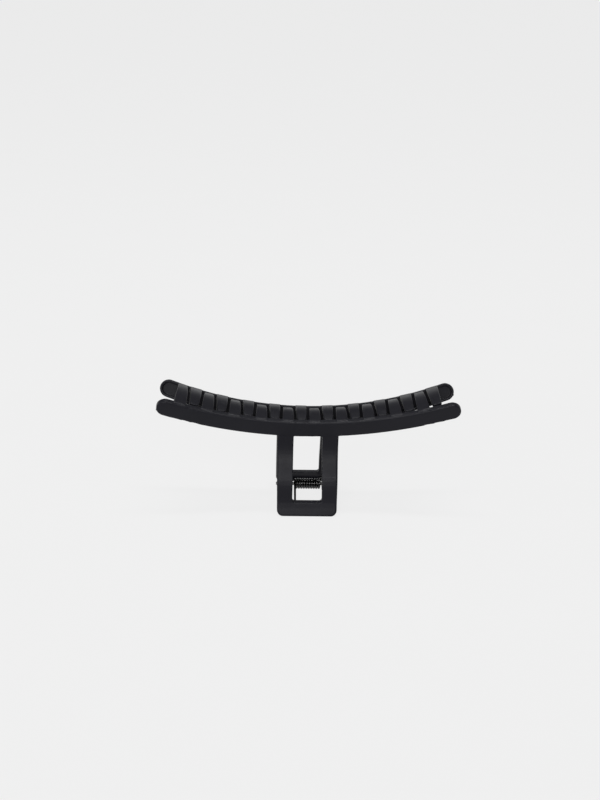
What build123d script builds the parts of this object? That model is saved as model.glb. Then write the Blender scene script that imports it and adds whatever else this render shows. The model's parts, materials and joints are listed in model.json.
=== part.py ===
from build123d import *
from math import acos, asin, atan2, cos, degrees, hypot, pi, radians, sin, sqrt
import os

# An 11 cm hair claw clip: two toothed jaws from one mould, on a steel pin, sprung shut.
# X runs along the clip, Y from the front jaw (-Y) to the rear jaw (+Y), Z up towards the teeth.
# The clip stands on the ends of its two handles at Z = 0. All sizes are in millimetres.

# Beam: the bar that carries the teeth. It is an arc in a plane that leans outwards at the top, so
# that the jaws are further apart at the clip's ends. Sizes are the front jaw's.
CLIP_LENGTH = 110.0
BEAM_CENTRE_HEIGHT = 31.3         # middle of the beam's section, at the middle of the clip
BEAM_CENTRE_Y = -6.5
BEAM_LEAN = 18.0                  # degrees from upright
BEAM_ARC_RADIUS = 148.7           # the beam's ends curve up, towards the teeth
BEAM_HEIGHT = 6.6
BEAM_THICKNESS = 2.2
BEAM_EDGE_RADIUS = 0.6
POCKET_WALL = 0.9                 # wall round the hollow in the beam's inner face
POCKET_DEPTH = 1.3
POCKET_START = 2.5                # X where each hollow starts, beside a rib in the middle

# Teeth: arches that reach over to the other jaw, wider and higher towards the clip's ends
TOOTH_COUNT = 10
TOOTH_PITCH = 10.0
FIRST_TOOTH_X = -47.5
TOOTH_ROOT_WIDTH = 4.2
END_TOOTH_EXTRA_WIDTH = 0.5
TOOTH_TIP_WIDTH = 3.4
TOOTH_CORNER_RADIUS = 1.0
TOOTH_EDGE_RADIUS = 0.3
END_TOOTH_TIP_RISE = 0.7
JOIN_TOLERANCE = 0.001            # where a tooth's surface runs into the beam's
# Top and underside of an arch at the middle of the clip: Y, and height above the beam's centre
ARCH_TOP_LINE = [(-8.0, 2.5), (-7.6, 3.25), (-6.3, 3.7), (-4.6, 4.1), (-2.3, 4.5), (0.0, 4.55),
                 (2.2, 4.2), (4.0, 3.65), (5.7, 3.05)]
ARCH_UNDERSIDE = [(5.5, 1.95), (3.9, 2.35), (1.9, 2.7), (-0.4, 2.85), (-2.7, 2.7), (-4.5, 2.3),
                  (-5.8, 1.85), (-6.6, 1.45)]

# Handle: a window frame that flares outwards below the beam
HANDLE_TOP_WIDTH = 22.6
HANDLE_BOTTOM_WIDTH = 22.0
HANDLE_THICKNESS = 2.5
HANDLE_CORNER_RADIUS = 2.2
HANDLE_EDGE_RADIUS = 0.6
WINDOW_TOP_WIDTH = 10.4
WINDOW_BOTTOM_WIDTH = 10.9
WINDOW_BOTTOM = 4.9
WINDOW_TOP = 29.1                 # a little above the beam's lower edge
WINDOW_CORNER_RADIUS = 1.0
# Outer face of the handle, top to bottom: distance from the middle plane, and height
HANDLE_FACE = [(6.65, 29.5), (6.6, 28.0), (6.7, 25.6), (7.25, 22.8), (8.3, 20.0), (9.85, 17.2),
               (11.7, 14.2), (12.95, 11.2), (13.65, 8.2), (14.35, 4.9), (15.0, 3.1), (16.3, 0.0)]
RECESS_WIDTH = 15.8               # hollow behind the end bar, which holds the tip of the spring's leg
RECESS_BOTTOM = (13.3, 1.1)       # on the handle's inner face: distance from the middle plane, height
RECESS_TOP = (12.1, 3.9)
RECESS_DEPTH = 1.1

# Hinge
HINGE_HEIGHT = 5.85
BOSS_RADIUS = 2.2
PIN_DIAMETER = 1.2
PIN_LENGTH = 22.5
PIN_END_CHAMFER = 0.15
RUNNING_CLEARANCE = 0.05          # radial, where the front jaw turns on the pin
OUTER_LUG = (-10.9, -8.7)         # X from and to, front jaw
INNER_LUG = (6.0, 8.4)
# Where the web of a lug meets the handle's side bar: Y and height
WEB_ROOT = [(-5.9, 24.5), (-11.5, 12.0), (-13.0, 3.2)]

# Spring: a coil on the pin, and a leg to each end bar with its tip bent outwards along the pin
WIRE_DIAMETER = 0.82
COIL_RADIUS = 1.62               # to the middle of the wire
COIL_PITCH = 0.94
WHOLE_TURNS = 10
COIL_OFFSET = 0.6                # of the coil's middle, towards the rear jaw's leg
LEG_REACH = 12.6                  # end of the leg: distance from the middle plane
LEG_DROP = 3.35                   # and below the pin
LEG_BEND_RADIUS = 0.9
LEG_SPRINGING = 4.0               # length over which the leg straightens as it leaves the coil
LEG_SIDESTEP = 0.1
TIP_LENGTH = 2.2


def arc_rise(x):
    """How far up its leaning plane the beam has curved at x."""
    return BEAM_ARC_RADIUS - sqrt(BEAM_ARC_RADIUS ** 2 - x ** 2)


def curved_slot(from_x, to_x, height):
    """Add to the sketch a round-ended bar along the beam's arc."""
    start, end = degrees(asin(from_x / BEAM_ARC_RADIUS)), degrees(asin(to_x / BEAM_ARC_RADIUS))
    with BuildLine(mode=Mode.PRIVATE) as middle:
        CenterArc((0, BEAM_ARC_RADIUS), BEAM_ARC_RADIUS, 270 + start, end - start)
    SlotArc(middle.edges()[0], height)


def beam():
    lean = radians(BEAM_LEAN)
    outwards = (0, -cos(lean), -sin(lean))
    middle_plane = Plane(origin=(0, BEAM_CENTRE_Y, BEAM_CENTRE_HEIGHT), x_dir=(1, 0, 0), z_dir=outwards)
    inner_plane = middle_plane.offset(-BEAM_THICKNESS / 2)
    end_x = (CLIP_LENGTH - BEAM_HEIGHT) / 2
    with BuildPart() as bar:
        with BuildSketch(inner_plane):
            curved_slot(-end_x, end_x, BEAM_HEIGHT)
        extrude(amount=BEAM_THICKNESS)
        outer_face = bar.faces().filter_by(GeomType.PLANE).sort_by(Axis((0, 0, 0), outwards))[-1]
        fillet(outer_face.edges(), BEAM_EDGE_RADIUS)
        pocket_height = BEAM_HEIGHT - 2 * POCKET_WALL
        with BuildSketch(inner_plane):
            curved_slot(-end_x, -POCKET_START - pocket_height / 2, pocket_height)
            curved_slot(POCKET_START + pocket_height / 2, end_x, pocket_height)
        extrude(amount=POCKET_DEPTH, mode=Mode.SUBTRACT)
    return bar.part


def tooth(x):
    """One arched tooth. Its origin is the middle plane of the clip, level with the beam's centre."""
    towards_end = (x / FIRST_TOOTH_X) ** 2
    root_width = TOOTH_ROOT_WIDTH + END_TOOTH_EXTRA_WIDTH * towards_end
    spread = arc_rise(x) * sin(radians(BEAM_LEAN))
    root_y, tip_y = ARCH_TOP_LINE[0][0], ARCH_TOP_LINE[-1][0]

    def stretched(line):
        shares = [(y - root_y) / (tip_y - root_y) for y, height in line]
        return [(y + spread * (2 * share - 1), height + END_TOOTH_TIP_RISE * towards_end * share)
                for (y, height), share in zip(line, shares)]

    top_line, underside = stretched(ARCH_TOP_LINE), stretched(ARCH_UNDERSIDE)
    with BuildPart() as arch:
        with BuildSketch(Plane.YZ):
            with BuildLine():
                Spline(*top_line)
                Line(top_line[-1], underside[0])
                Spline(*underside)
                Line(underside[-1], top_line[0])
            make_face()
        extrude(amount=root_width / 2, both=True)
        with BuildSketch(Plane.XY) as plan:
            with BuildLine():
                Polyline((-root_width / 2, root_y - spread), (root_width / 2, root_y - spread),
                         (TOOTH_TIP_WIDTH / 2, tip_y + spread), (-TOOTH_TIP_WIDTH / 2, tip_y + spread),
                         close=True)
            make_face()
            fillet(plan.vertices().group_by(Axis.Y)[-1], TOOTH_CORNER_RADIUS)
        extrude(amount=2 * BEAM_HEIGHT, mode=Mode.INTERSECT)
        fillet(arch.faces().sort_by(Axis.Z)[-1].edges(), TOOTH_EDGE_RADIUS)
    return arch.part


def handle():
    """The window frame, cut from a curved sheet of even thickness."""
    outer_face = [(-distance, height) for distance, height in HANDLE_FACE]
    inner_face = [(y + HANDLE_THICKNESS, height) for y, height in reversed(outer_face)]
    half_top, half_bottom = HANDLE_TOP_WIDTH / 2, HANDLE_BOTTOM_WIDTH / 2
    top = HANDLE_FACE[0][1]
    with BuildPart() as frame:
        with BuildSketch(Plane.YZ):
            with BuildLine():
                Spline(*outer_face)
                Line(outer_face[-1], inner_face[0])
                Spline(*inner_face)
                Line(inner_face[-1], outer_face[0])
            make_face()
        extrude(amount=half_top, both=True)
        with BuildSketch(Plane.XZ) as outline:
            with BuildLine():
                Polyline((-half_top, top), (half_top, top), (half_bottom, 0), (-half_bottom, 0), close=True)
            make_face()
            fillet(outline.vertices().group_by(Axis.Y)[0], HANDLE_CORNER_RADIUS)
            with BuildSketch(mode=Mode.SUBTRACT) as window:
                with BuildLine():
                    Polyline((-WINDOW_TOP_WIDTH / 2, WINDOW_TOP), (WINDOW_TOP_WIDTH / 2, WINDOW_TOP),
                             (WINDOW_BOTTOM_WIDTH / 2, WINDOW_BOTTOM),
                             (-WINDOW_BOTTOM_WIDTH / 2, WINDOW_BOTTOM), close=True)
                make_face()
                fillet(window.vertices().group_by(Axis.Y)[0], WINDOW_CORNER_RADIUS)
        extrude(amount=2 * LEG_REACH, mode=Mode.INTERSECT)
        fillet(frame.faces().sort_by(Axis.Y)[0].edges(), HANDLE_EDGE_RADIUS)
        with BuildSketch(Plane.YZ):
            with BuildLine():
                Polyline((-RECESS_TOP[0] + RECESS_DEPTH, RECESS_TOP[1]),
                         (-RECESS_TOP[0] - RECESS_DEPTH, RECESS_TOP[1]),
                         (-RECESS_BOTTOM[0] - RECESS_DEPTH, RECESS_BOTTOM[1]),
                         (-RECESS_BOTTOM[0] + RECESS_DEPTH, RECESS_BOTTOM[1]), close=True)
            make_face()
        extrude(amount=RECESS_WIDTH / 2, both=True, mode=Mode.SUBTRACT)
    return frame.part


def lug(from_x, to_x):
    """A flat web from the handle's side bar to the boss round the pin."""
    with BuildPart() as web:
        with BuildSketch(Plane.YZ.offset(from_x)):
            with BuildLine():
                Polyline(*WEB_ROOT)
                CenterArc((0, HINGE_HEIGHT), BOSS_RADIUS, 0, 360)
            make_hull()
        extrude(amount=to_x - from_x)
    return web.part


def jaw(bore_diameter):
    """The front jaw, one moulding."""
    frame = handle()
    lugs = [lug(*OUTER_LUG), lug(*INNER_LUG)]
    arches = []
    for x in (FIRST_TOOTH_X + TOOTH_PITCH * i for i in range(TOOTH_COUNT)):
        height = BEAM_CENTRE_HEIGHT + arc_rise(x) * cos(radians(BEAM_LEAN))
        arches.append(Pos(x, 0, height) * Rot(0, -degrees(asin(x / BEAM_ARC_RADIUS)), 0) * tooth(x))
    toothed_bar = beam().fuse(*arches, tol=JOIN_TOLERANCE)
    with BuildPart() as moulding:
        add(toothed_bar)
        add(frame)
        for web in lugs:
            add(web)
        with BuildSketch(Plane.YZ):
            with Locations((0, HINGE_HEIGHT)):
                Circle(bore_diameter / 2)
        extrude(amount=PIN_LENGTH, both=True, mode=Mode.SUBTRACT)
    return moulding.part


# Sub-part: front_jaw
with BuildPart() as front_jaw:
    add(jaw(PIN_DIAMETER + 2 * RUNNING_CLEARANCE))
front_jaw.part.label = "front_jaw"

# Sub-part: rear_jaw, the same moulding turned half round, tight on the pin
with BuildPart() as rear_jaw:
    add(jaw(PIN_DIAMETER), rotation=(0, 0, 180))
rear_jaw.part.label = "rear_jaw"

# Sub-part: hinge_pin
with BuildPart() as hinge_pin:
    with BuildSketch(Plane.YZ):
        with Locations((0, HINGE_HEIGHT)):
            Circle(PIN_DIAMETER / 2)
    extrude(amount=PIN_LENGTH / 2, both=True)
    chamfer(hinge_pin.edges().filter_by(GeomType.CIRCLE), PIN_END_CHAMFER)
hinge_pin.part.label = "hinge_pin"

# Sub-part: torsion_spring
# Seen along the pin, each leg leaves the top of the coil on a tangent that ends at its end bar.
leg_slope = atan2(LEG_DROP, LEG_REACH)
leg_start = acos(COIL_RADIUS / hypot(LEG_REACH, LEG_DROP)) - leg_slope
coil_turns = WHOLE_TURNS + (pi - 2 * leg_start) / (2 * pi)
coil_end = COIL_PITCH * coil_turns / 2
across, up = cos(leg_start), sin(leg_start)
wire_start = Vector(coil_end, COIL_RADIUS * across, HINGE_HEIGHT + COIL_RADIUS * up)
coil_tangent = Vector(COIL_PITCH / (2 * pi * COIL_RADIUS), up, -across).normalized()
leg_direction = Vector(0, up, -across)
leg_line_start = wire_start + leg_direction * LEG_SPRINGING + Vector(LEG_SIDESTEP, 0, 0)
leg_end = Vector(leg_line_start.X, LEG_REACH, HINGE_HEIGHT - LEG_DROP)

with BuildPart() as leg:
    with BuildLine() as leg_path:
        Spline(wire_start, leg_line_start, tangents=[coil_tangent, leg_direction])
        FilletPolyline(leg_line_start, leg_end, leg_end + Vector(TIP_LENGTH, 0, 0), radius=LEG_BEND_RADIUS)
    with BuildSketch(Plane(origin=wire_start, z_dir=coil_tangent)):
        Circle(WIRE_DIAMETER / 2)
    sweep(path=leg_path.wires()[0])

with BuildPart() as coil:
    with BuildLine() as coil_path:
        Helix(COIL_PITCH, 2 * coil_end, COIL_RADIUS, lefthand=True)
    with BuildSketch(Plane(origin=coil_path.line @ 0, z_dir=coil_path.line % 0)):
        Circle(WIRE_DIAMETER / 2)
    sweep(path=coil_path.wires()[0], is_frenet=True)

# The coil's own axis runs from the rear jaw's leg at +X to the front jaw's leg at -X
coil_plane = Plane(origin=(coil_end, 0, HINGE_HEIGHT), x_dir=(0, across, up), z_dir=(-1, 0, 0))
with BuildPart() as torsion_spring:
    add(Pos(COIL_OFFSET, 0, 0) * coil_plane.location * coil.part)
    add(Pos(COIL_OFFSET, 0, 0) * leg.part)
    add(Pos(COIL_OFFSET, 0, 0) * Rot(0, 0, 180) * leg.part)
torsion_spring.part.label = "torsion_spring"

os.makedirs("parts", exist_ok=True)
for sub_part in (front_jaw, rear_jaw, hinge_pin, torsion_spring):
    export_step(sub_part.part, f"parts/{sub_part.part.label}.step")
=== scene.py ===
import json
from math import acos, atan2, cos, hypot, pi, radians, sin

import bmesh
import bpy
from mathutils import Matrix, Vector


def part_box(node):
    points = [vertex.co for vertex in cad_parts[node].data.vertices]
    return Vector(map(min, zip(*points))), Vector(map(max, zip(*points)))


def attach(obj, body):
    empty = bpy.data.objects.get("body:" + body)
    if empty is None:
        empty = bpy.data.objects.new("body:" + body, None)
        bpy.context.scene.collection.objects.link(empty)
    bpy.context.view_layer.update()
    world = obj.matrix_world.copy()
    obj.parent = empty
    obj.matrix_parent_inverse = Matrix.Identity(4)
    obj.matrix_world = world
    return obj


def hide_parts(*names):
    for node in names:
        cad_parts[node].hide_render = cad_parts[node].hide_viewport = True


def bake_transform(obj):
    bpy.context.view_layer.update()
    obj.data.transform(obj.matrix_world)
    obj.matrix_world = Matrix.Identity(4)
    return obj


# The looks of an 11 cm hair claw clip: two soft-touch black jaws, a dark torsion spring on a
# steel pin, on a pale floor under soft light. Lengths are in metres and MM turns millimetres to them.
MM = 0.001

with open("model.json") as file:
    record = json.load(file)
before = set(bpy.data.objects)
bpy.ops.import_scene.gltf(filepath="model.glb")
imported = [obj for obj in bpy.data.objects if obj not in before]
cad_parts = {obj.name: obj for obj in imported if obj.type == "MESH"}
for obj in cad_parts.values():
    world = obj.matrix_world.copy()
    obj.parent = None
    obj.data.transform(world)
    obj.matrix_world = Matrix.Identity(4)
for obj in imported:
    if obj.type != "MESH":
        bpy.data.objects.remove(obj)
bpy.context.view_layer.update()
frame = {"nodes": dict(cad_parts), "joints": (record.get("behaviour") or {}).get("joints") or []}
scene = bpy.context.scene

HINGE = Vector(frame["joints"][0]["pos_m"])

# Jaws: the moulding is remeshed finely, so that every inside and outside edge gets a small radius
JAW_VOXEL = 0.14 * MM
JAW_SMOOTHING_STEPS = 11
JAW_FACE_SHARE = 0.22             # what is left after flat stretches are thinned out
GATE_RADIUS = 0.45 * MM           # stub of the moulding's gate, on one end of each beam
GATE_CENTRE = Vector((-54.75, -9.0, 39.1)) * MM

# Spring wire
WIRE_RADIUS = 0.41 * MM
COIL_RADIUS = 1.62 * MM          # to the middle of the wire
COIL_PITCH = 0.94 * MM
WHOLE_TURNS = 10
COIL_OFFSET = Vector((0.6, 0, 0)) * MM   # of the coil's middle, towards the rear jaw's leg
LEG_REACH = 12.6 * MM
LEG_DROP = 3.35 * MM
LEG_BEND_RADIUS = 0.9 * MM
LEG_SIDESTEP = 0.1 * MM
TIP_LENGTH = 2.2 * MM
WIRE_SIDES = 20
STEPS_PER_TURN = 40
TIP_STEPS = 8
BEND_STEPS = 12
STRAIGHT_STEPS = 24

# Hinge pin
PIN_SIDES = 32
PIN_STEPS = 30
PIN_END_ROUNDING = 0.15 * MM

# Tone of the dark steels, from 0 to 1. The spring wire's near-black tone is painted shade: it stands in
# for the dark jaws mirrored in the shiny wire. The pin's tone is about as dark.
WIRE_TONE_PAINTED_SHADE = 0.06
PIN_TONE = 0.09

# Light: glow of the room and of the backdrop, and the soft boxes' power in watts
ROOM_GLOW = 0.3
BACKDROP_GLOW = 0.8
KEY_POWER = 37
OVERHEAD_POWER = 3.3
LEFT_EDGE_POWER = 0.9

FLOOR_HALF = 9.0                  # half the floor's side

# Camera
CAMERA_DISTANCE = 0.4545
CAMERA_ELEVATION = radians(22)
CAMERA_AZIMUTH = radians(-2.3)    # from the left of straight on
CAMERA_ROLL = radians(1.6)
CAMERA_LENS = 55.3                # on a 36 mm sensor, along the picture's long side
AIM_HEIGHT = 32.0 * MM            # above the floor, at the middle of the clip
AIM_UP = 7.24 * MM                # and then in the picture
AIM_LEFT = 3.05 * MM


# ---------------------------------------------------------------- materials

def node(tree, kind, inputs=None, **settings):
    """A shader node with its settings and its unlinked inputs filled in."""
    made = tree.nodes.new(kind)
    for name, value in settings.items():
        setattr(made, name, value)
    for name, value in (inputs or {}).items():
        made.inputs[name].default_value = value
    return made


def new_material(name):
    material = bpy.data.materials.new(name)
    material.use_nodes = True
    tree = material.node_tree
    tree.nodes.clear()
    shader = node(tree, "ShaderNodeBsdfPrincipled")
    output = node(tree, "ShaderNodeOutputMaterial")
    tree.links.new(shader.outputs["BSDF"], output.inputs["Surface"])
    return material, tree, shader


def soft_touch_black():
    """Matt black moulding with a velvety coat: fine grain, cloudy gloss, dust and rubbed edges."""
    material, tree, shader = new_material("soft_touch_black")
    link = tree.links.new
    shader.inputs["Specular IOR Level"].default_value = 0.16
    shader.inputs["Sheen Weight"].default_value = 0.06
    shader.inputs["Sheen Roughness"].default_value = 0.3
    shader.inputs["Sheen Tint"].default_value = (0.9, 0.9, 0.86, 1)
    place = node(tree, "ShaderNodeTexCoord")

    # Colour: near black, a touch bluer or browner from patch to patch
    patches = node(tree, "ShaderNodeTexNoise", {"Scale": 90, "Detail": 3, "Roughness": 0.55})
    link(place.outputs["Object"], patches.inputs["Vector"])
    tones = node(tree, "ShaderNodeValToRGB")
    tones.color_ramp.elements[0].position = 0.3
    tones.color_ramp.elements[0].color = (0.0038, 0.0038, 0.0066, 1)
    tones.color_ramp.elements[1].position = 0.72
    tones.color_ramp.elements[1].color = (0.0052, 0.0050, 0.0082, 1)
    link(patches.outputs["Fac"], tones.inputs["Fac"])

    # Rubbed convex edges are a little lighter and shinier
    edges = node(tree, "ShaderNodeNewGeometry")
    rubbed = node(tree, "ShaderNodeMapRange", {"From Min": 0.505, "From Max": 0.56, "To Min": 0.0,
                                               "To Max": 1.0})
    link(edges.outputs["Pointiness"], rubbed.inputs["Value"])
    rub_noise = node(tree, "ShaderNodeTexNoise", {"Scale": 700, "Detail": 4, "Roughness": 0.6})
    link(place.outputs["Object"], rub_noise.inputs["Vector"])
    rub = node(tree, "ShaderNodeMath", operation="MULTIPLY")
    link(rubbed.outputs["Result"], rub.inputs[0])
    link(rub_noise.outputs["Fac"], rub.inputs[1])
    lighter = node(tree, "ShaderNodeMix", data_type="RGBA")
    lighter.inputs["B"].default_value = (0.015, 0.015, 0.018, 1)
    link(rub.outputs["Value"], lighter.inputs["Factor"])
    link(tones.outputs["Color"], lighter.inputs["A"])

    # Specks of dust
    specks = node(tree, "ShaderNodeTexVoronoi", {"Scale": 260, "Randomness": 1.0})
    link(place.outputs["Object"], specks.inputs["Vector"])
    speck = node(tree, "ShaderNodeMapRange", {"From Min": 0.028, "From Max": 0.016, "To Min": 0.0,
                                              "To Max": 0.3})
    link(specks.outputs["Distance"], speck.inputs["Value"])
    dusty = node(tree, "ShaderNodeMix", data_type="RGBA")
    dusty.inputs["B"].default_value = (0.05, 0.049, 0.047, 1)
    link(speck.outputs["Result"], dusty.inputs["Factor"])
    link(lighter.outputs["Result"], dusty.inputs["A"])
    link(dusty.outputs["Result"], shader.inputs["Base Color"])

    # Gloss: cloudy, with the rubbed edges smoother
    clouds = node(tree, "ShaderNodeTexNoise", {"Scale": 160, "Detail": 5, "Roughness": 0.6})
    link(place.outputs["Object"], clouds.inputs["Vector"])
    gloss = node(tree, "ShaderNodeMapRange", {"From Min": 0.25, "From Max": 0.75, "To Min": 0.4,
                                              "To Max": 0.48})
    link(clouds.outputs["Fac"], gloss.inputs["Value"])
    smoother = node(tree, "ShaderNodeMath", {1: 0.1}, operation="MULTIPLY")
    link(rub.outputs["Value"], smoother.inputs[0])
    rough = node(tree, "ShaderNodeMath", operation="SUBTRACT", use_clamp=True)
    link(gloss.outputs["Result"], rough.inputs[0])
    link(smoother.outputs["Value"], rough.inputs[1])
    link(rough.outputs["Value"], shader.inputs["Roughness"])

    # Fine moulded grain, over a much fainter unevenness
    grain = node(tree, "ShaderNodeTexNoise", {"Scale": 5200, "Detail": 3, "Roughness": 0.6})
    link(place.outputs["Object"], grain.inputs["Vector"])
    waves = node(tree, "ShaderNodeTexNoise", {"Scale": 380, "Detail": 2, "Roughness": 0.5})
    link(place.outputs["Object"], waves.inputs["Vector"])
    slow = node(tree, "ShaderNodeBump", {"Strength": 0.12, "Distance": 0.08 * MM})
    link(waves.outputs["Fac"], slow.inputs["Height"])
    fine = node(tree, "ShaderNodeBump", {"Strength": 0.35, "Distance": 0.012 * MM})
    link(grain.outputs["Fac"], fine.inputs["Height"])
    link(slow.outputs["Normal"], fine.inputs["Normal"])
    link(fine.outputs["Normal"], shader.inputs["Normal"])
    return material


def drawn_steel(name, tone, roughness_low, roughness_high, draw_scale):
    """Drawn steel: scratches along the wire, from UVs that run round and along it."""
    material, tree, shader = new_material(name)
    link = tree.links.new
    shader.inputs["Metallic"].default_value = 1.0
    place = node(tree, "ShaderNodeUVMap")
    stretch = node(tree, "ShaderNodeMapping", {"Scale": draw_scale})
    link(place.outputs["UV"], stretch.inputs["Vector"])
    lines = node(tree, "ShaderNodeTexNoise", {"Scale": 1.0, "Detail": 4, "Roughness": 0.65})
    link(stretch.outputs["Vector"], lines.inputs["Vector"])
    gloss = node(tree, "ShaderNodeMapRange", {"From Min": 0.3, "From Max": 0.7,
                                              "To Min": roughness_low, "To Max": roughness_high})
    link(lines.outputs["Fac"], gloss.inputs["Value"])
    link(gloss.outputs["Result"], shader.inputs["Roughness"])

    spots = node(tree, "ShaderNodeTexCoord")
    stain = node(tree, "ShaderNodeTexNoise", {"Scale": 1400, "Detail": 4, "Roughness": 0.6})
    link(spots.outputs["Object"], stain.inputs["Vector"])
    tones = node(tree, "ShaderNodeValToRGB")
    tones.color_ramp.elements[0].position = 0.32
    tones.color_ramp.elements[0].color = (tone * 0.78, tone * 0.77, tone * 0.76, 1)
    tones.color_ramp.elements[1].position = 0.6
    tones.color_ramp.elements[1].color = (tone, tone, tone * 1.01, 1)
    link(stain.outputs["Fac"], tones.inputs["Fac"])
    link(tones.outputs["Color"], shader.inputs["Base Color"])

    scratch = node(tree, "ShaderNodeBump", {"Strength": 0.25, "Distance": 0.006 * MM})
    link(lines.outputs["Fac"], scratch.inputs["Height"])
    link(scratch.outputs["Normal"], shader.inputs["Normal"])
    return material


def pale_floor():
    """A light table: it glows evenly, so that only a faint shadow is left on it."""
    material, tree, shader = new_material("pale_floor")
    link = tree.links.new
    place = node(tree, "ShaderNodeTexCoord")
    mottle = node(tree, "ShaderNodeTexNoise", {"Scale": 30, "Detail": 3, "Roughness": 0.5})
    link(place.outputs["Object"], mottle.inputs["Vector"])
    tones = node(tree, "ShaderNodeValToRGB")
    tones.color_ramp.elements[0].color = (0.047, 0.047, 0.047, 1)
    tones.color_ramp.elements[1].color = (0.053, 0.053, 0.053, 1)
    link(mottle.outputs["Fac"], tones.inputs["Fac"])
    link(tones.outputs["Color"], shader.inputs["Base Color"])
    shader.inputs["Roughness"].default_value = 0.9
    shader.inputs["Specular IOR Level"].default_value = 0.0
    shader.inputs["Emission Color"].default_value = (1, 1, 1, 1)
    shader.inputs["Emission Strength"].default_value = 0.81
    return material


# ---------------------------------------------------------------- jaws

def in_scene(name, mesh):
    piece = bpy.data.objects.new(name, mesh)
    scene.collection.objects.link(piece)
    return piece


def apply_modifiers(piece):
    """Replace the piece's mesh by what its modifiers make of it."""
    bpy.context.view_layer.update()
    graph = bpy.context.evaluated_depsgraph_get()
    made = bpy.data.meshes.new_from_object(piece.evaluated_get(graph))
    piece.modifiers.clear()
    piece.data = made
    return piece


def moulded(name, cad_node, gate_centre):
    """The CAD jaw as a soft-edged moulding, in one closed skin, with the stub of its gate."""
    source = frame["nodes"][cad_node].data.copy()
    source.materials.clear()
    mesh = bmesh.new()
    mesh.from_mesh(source)
    bmesh.ops.create_icosphere(mesh, subdivisions=3, radius=GATE_RADIUS,
                               matrix=Matrix.Translation(gate_centre))
    mesh.to_mesh(source)
    mesh.free()
    piece = in_scene(name, source)
    weld = piece.modifiers.new("weld", "WELD")
    weld.merge_threshold = 0.001 * MM
    skin = piece.modifiers.new("skin", "REMESH")
    skin.mode = "VOXEL"
    skin.voxel_size = JAW_VOXEL
    apply_modifiers(piece)
    smooth = piece.modifiers.new("soft_edges", "SMOOTH")
    smooth.factor = 0.5
    smooth.iterations = JAW_SMOOTHING_STEPS
    thin = piece.modifiers.new("thin_out", "DECIMATE")
    thin.ratio = JAW_FACE_SHARE
    apply_modifiers(piece)
    piece.data.shade_smooth()
    return piece


# ---------------------------------------------------------------- spring

def tube(name, path, radius, sides):
    """A closed round wire along a list of points, with UVs round it and, in metres, along it."""
    points = [Vector(p) for p in path]
    count = len(points)
    tangents = [(points[min(i + 1, count - 1)] - points[max(i - 1, 0)]).normalized()
                for i in range(count)]
    side = tangents[0].orthogonal().normalized()
    mesh = bmesh.new()
    uv = mesh.loops.layers.uv.new("UVMap")
    rings, lengths = [], []
    travelled = 0.0
    for i, (point, tangent) in enumerate(zip(points, tangents)):
        side = (side - tangent * side.dot(tangent)).normalized()
        other = tangent.cross(side)
        if i:
            travelled += (point - points[i - 1]).length
        lengths.append(travelled)
        rings.append([mesh.verts.new(point + radius * (cos(2 * pi * k / sides) * side
                                                      + sin(2 * pi * k / sides) * other))
                      for k in range(sides)])
    for i in range(count - 1):
        for k in range(sides):
            after = (k + 1) % sides
            face = mesh.faces.new((rings[i][k], rings[i][after], rings[i + 1][after], rings[i + 1][k]))
            face.smooth = True
            corners = ((k, i), (k + 1, i), (k + 1, i + 1), (k, i + 1))
            for loop, (round_step, along_step) in zip(face.loops, corners):
                loop[uv].uv = (round_step / sides, lengths[along_step] / MM)
    for ring, backwards in ((rings[0], True), (rings[-1], False)):
        mesh.faces.new(list(reversed(ring)) if backwards else ring)
    bmesh.ops.recalc_face_normals(mesh, faces=mesh.faces)
    data = bpy.data.meshes.new(name)
    mesh.to_mesh(data)
    mesh.free()
    return in_scene(name, data)


def spring_path():
    """The wire's middle line from the rear jaw's leg, round the coil, to the front jaw's leg."""
    slope = atan2(LEG_DROP, LEG_REACH)
    first_angle = acos(COIL_RADIUS / hypot(LEG_REACH, LEG_DROP)) - slope
    last_angle = 2 * pi * WHOLE_TURNS + pi - first_angle
    turn = last_angle - first_angle
    half_coil = COIL_PITCH * turn / (2 * pi) / 2
    steps = int(turn / (2 * pi) * STEPS_PER_TURN)
    coil = []
    for i in range(steps + 1):
        share = i / steps
        angle = first_angle + turn * share
        coil.append(Vector((half_coil - 2 * half_coil * share, COIL_RADIUS * cos(angle),
                            COIL_RADIUS * sin(angle))))

    # One leg, from its bent tip to the coil; the other is the same turned half round
    leave = Vector((0, sin(first_angle), -cos(first_angle)))
    leg_x = half_coil + LEG_SIDESTEP
    leg_end = Vector((leg_x, LEG_REACH, -LEG_DROP))
    corner_start = leg_end - leave * LEG_BEND_RADIUS
    leg = []
    for i in range(TIP_STEPS + 1):
        tip_x = leg_x + TIP_LENGTH - (TIP_LENGTH - LEG_BEND_RADIUS) * i / TIP_STEPS
        leg.append(Vector((tip_x, leg_end.y, leg_end.z)))
    centre = corner_start + Vector((LEG_BEND_RADIUS, 0, 0))
    for i in range(1, BEND_STEPS):
        angle = pi / 2 * i / BEND_STEPS
        leg.append(centre + LEG_BEND_RADIUS * (cos(angle) * leave - sin(angle) * Vector((1, 0, 0))))
    for i in range(STRAIGHT_STEPS):
        share = i / STRAIGHT_STEPS
        point = corner_start.lerp(coil[0], share)
        eased = share * share * (3 - 2 * share)
        leg.append(Vector((leg_x + (half_coil - leg_x) * eased, point.y, point.z)))
    other_leg = [Vector((-p.x, -p.y, p.z)) for p in reversed(leg)]
    return [HINGE + COIL_OFFSET + p for p in leg + coil + other_leg]


# ---------------------------------------------------------------- build

black = soft_touch_black()
# The spring wire's near-black tone is painted shade, for the dark jaws it mirrors
wire_steel = drawn_steel("spring_steel", WIRE_TONE_PAINTED_SHADE, 0.1, 0.2, (14, 1.4, 1))
pin_steel = drawn_steel("pin_steel", PIN_TONE, 0.2, 0.34, (9, 0.8, 1))

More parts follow.
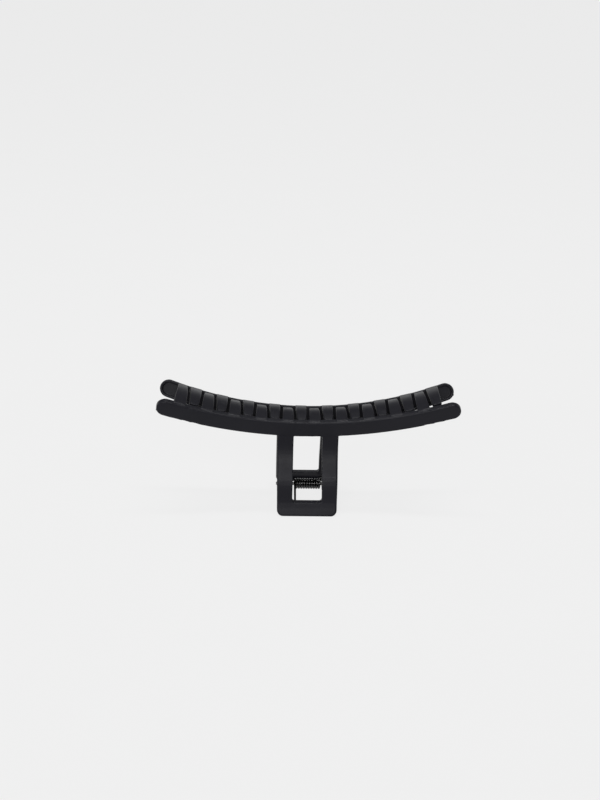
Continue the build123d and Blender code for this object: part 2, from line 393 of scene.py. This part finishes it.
rear_gate = Vector((-GATE_CENTRE.x, -GATE_CENTRE.y, GATE_CENTRE.z))
for side, gate in (("front", GATE_CENTRE), ("rear", rear_gate)):
    jaw = moulded(f"{side}_jaw_moulding", f"{side}_jaw", gate)
    jaw.data.materials.append(black)
    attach(jaw, f"{side}_half")
    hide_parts(f"{side}_jaw")

path = spring_path()
spring = tube("torsion_spring_wire", path, WIRE_RADIUS, WIRE_SIDES)
spring.data.materials.append(wire_steel)
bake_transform(spring)
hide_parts("torsion_spring")

pin_low, pin_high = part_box("hinge_pin")
pin_radius = (pin_high.z - pin_low.z) / 2
pin_points = [Vector((pin_low.x + (pin_high.x - pin_low.x) * i / PIN_STEPS, HINGE.y, HINGE.z))
              for i in range(PIN_STEPS + 1)]
pin = tube("hinge_pin_rod", pin_points, pin_radius, PIN_SIDES)
bevel = pin.modifiers.new("rounded_ends", "BEVEL")
bevel.width = PIN_END_ROUNDING
bevel.segments = 3
bevel.limit_method = "ANGLE"
bevel.angle_limit = radians(60)
apply_modifiers(pin)
pin.data.materials.append(pin_steel)
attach(pin, "rear_half")
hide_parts("hinge_pin")

# ---------------------------------------------------------------- floor, light, camera

floor_mesh = bpy.data.meshes.new("floor")
floor_mesh.from_pydata([(-FLOOR_HALF, -FLOOR_HALF, 0), (FLOOR_HALF, -FLOOR_HALF, 0),
                        (FLOOR_HALF, FLOOR_HALF, 0), (-FLOOR_HALF, FLOOR_HALF, 0)], [], [(0, 1, 2, 3)])
floor = in_scene("floor", floor_mesh)
floor.data.materials.append(pale_floor())


def soft_box(name, place, size, power):
    """An area light that faces the middle of the clip."""
    light = bpy.data.lights.new(name, "AREA")
    light.shape = "RECTANGLE"
    light.size, light.size_y = size
    light.energy = power
    holder = bpy.data.objects.new(name, light)
    scene.collection.objects.link(holder)
    holder.location = place
    aim = Vector((0, 0, AIM_HEIGHT)) - Vector(place)
    holder.rotation_euler = aim.to_track_quat("-Z", "Y").to_euler()


soft_box("key", (-0.4, -2.0, 1.25), (1.8, 0.9), KEY_POWER)
soft_box("overhead", (0.0, 0.06, 0.78), (0.5, 0.06), OVERHEAD_POWER)
soft_box("left_edge", (-0.9, -0.05, 0.3), (0.12, 0.4), LEFT_EDGE_POWER)


def studio():
    """A dim room with a bright low backdrop behind the clip."""
    room = bpy.data.worlds.new("studio")
    room.use_nodes = True
    tree = room.node_tree
    link = tree.links.new
    background = tree.nodes["Background"]
    background.inputs["Color"].default_value = (0.98, 0.985, 1.0, 1)
    place = node(tree, "ShaderNodeTexCoord")
    parts = node(tree, "ShaderNodeSeparateXYZ")
    link(place.outputs["Generated"], parts.inputs["Vector"])
    behind = node(tree, "ShaderNodeMapRange", {"From Min": 0.1, "From Max": 0.85},
                  interpolation_type="SMOOTHSTEP")
    link(parts.outputs["Y"], behind.inputs["Value"])
    low = node(tree, "ShaderNodeMapRange", {"From Min": 0.42, "From Max": 0.02},
               interpolation_type="SMOOTHSTEP")
    link(parts.outputs["Z"], low.inputs["Value"])
    backdrop = node(tree, "ShaderNodeMath", operation="MULTIPLY")
    link(behind.outputs["Result"], backdrop.inputs[0])
    link(low.outputs["Result"], backdrop.inputs[1])
    strength = node(tree, "ShaderNodeMath", {1: BACKDROP_GLOW, 2: ROOM_GLOW}, operation="MULTIPLY_ADD")
    link(backdrop.outputs["Value"], strength.inputs[0])
    link(strength.outputs["Value"], background.inputs["Strength"])
    return room


scene.world = studio()

camera_data = bpy.data.cameras.new("camera")
camera_data.sensor_fit = "VERTICAL"
camera_data.sensor_height = 36
camera_data.lens = CAMERA_LENS
camera_data.clip_start = 0.01
camera = bpy.data.objects.new("camera", camera_data)
scene.collection.objects.link(camera)
back = Vector((sin(CAMERA_AZIMUTH) * cos(CAMERA_ELEVATION), -cos(CAMERA_AZIMUTH) * cos(CAMERA_ELEVATION),
               sin(CAMERA_ELEVATION)))
right = Vector((0, 0, 1)).cross(back).normalized()
up = back.cross(right)
aim = Vector((0, 0, AIM_HEIGHT)) + up * AIM_UP - right * AIM_LEFT
turn = Matrix((right, up, back)).transposed() @ Matrix.Rotation(CAMERA_ROLL, 3, "Z")
camera.matrix_world = Matrix.Translation(aim + back * CAMERA_DISTANCE) @ turn.to_4x4()
scene.camera = camera

scene.view_settings.view_transform = "Standard"
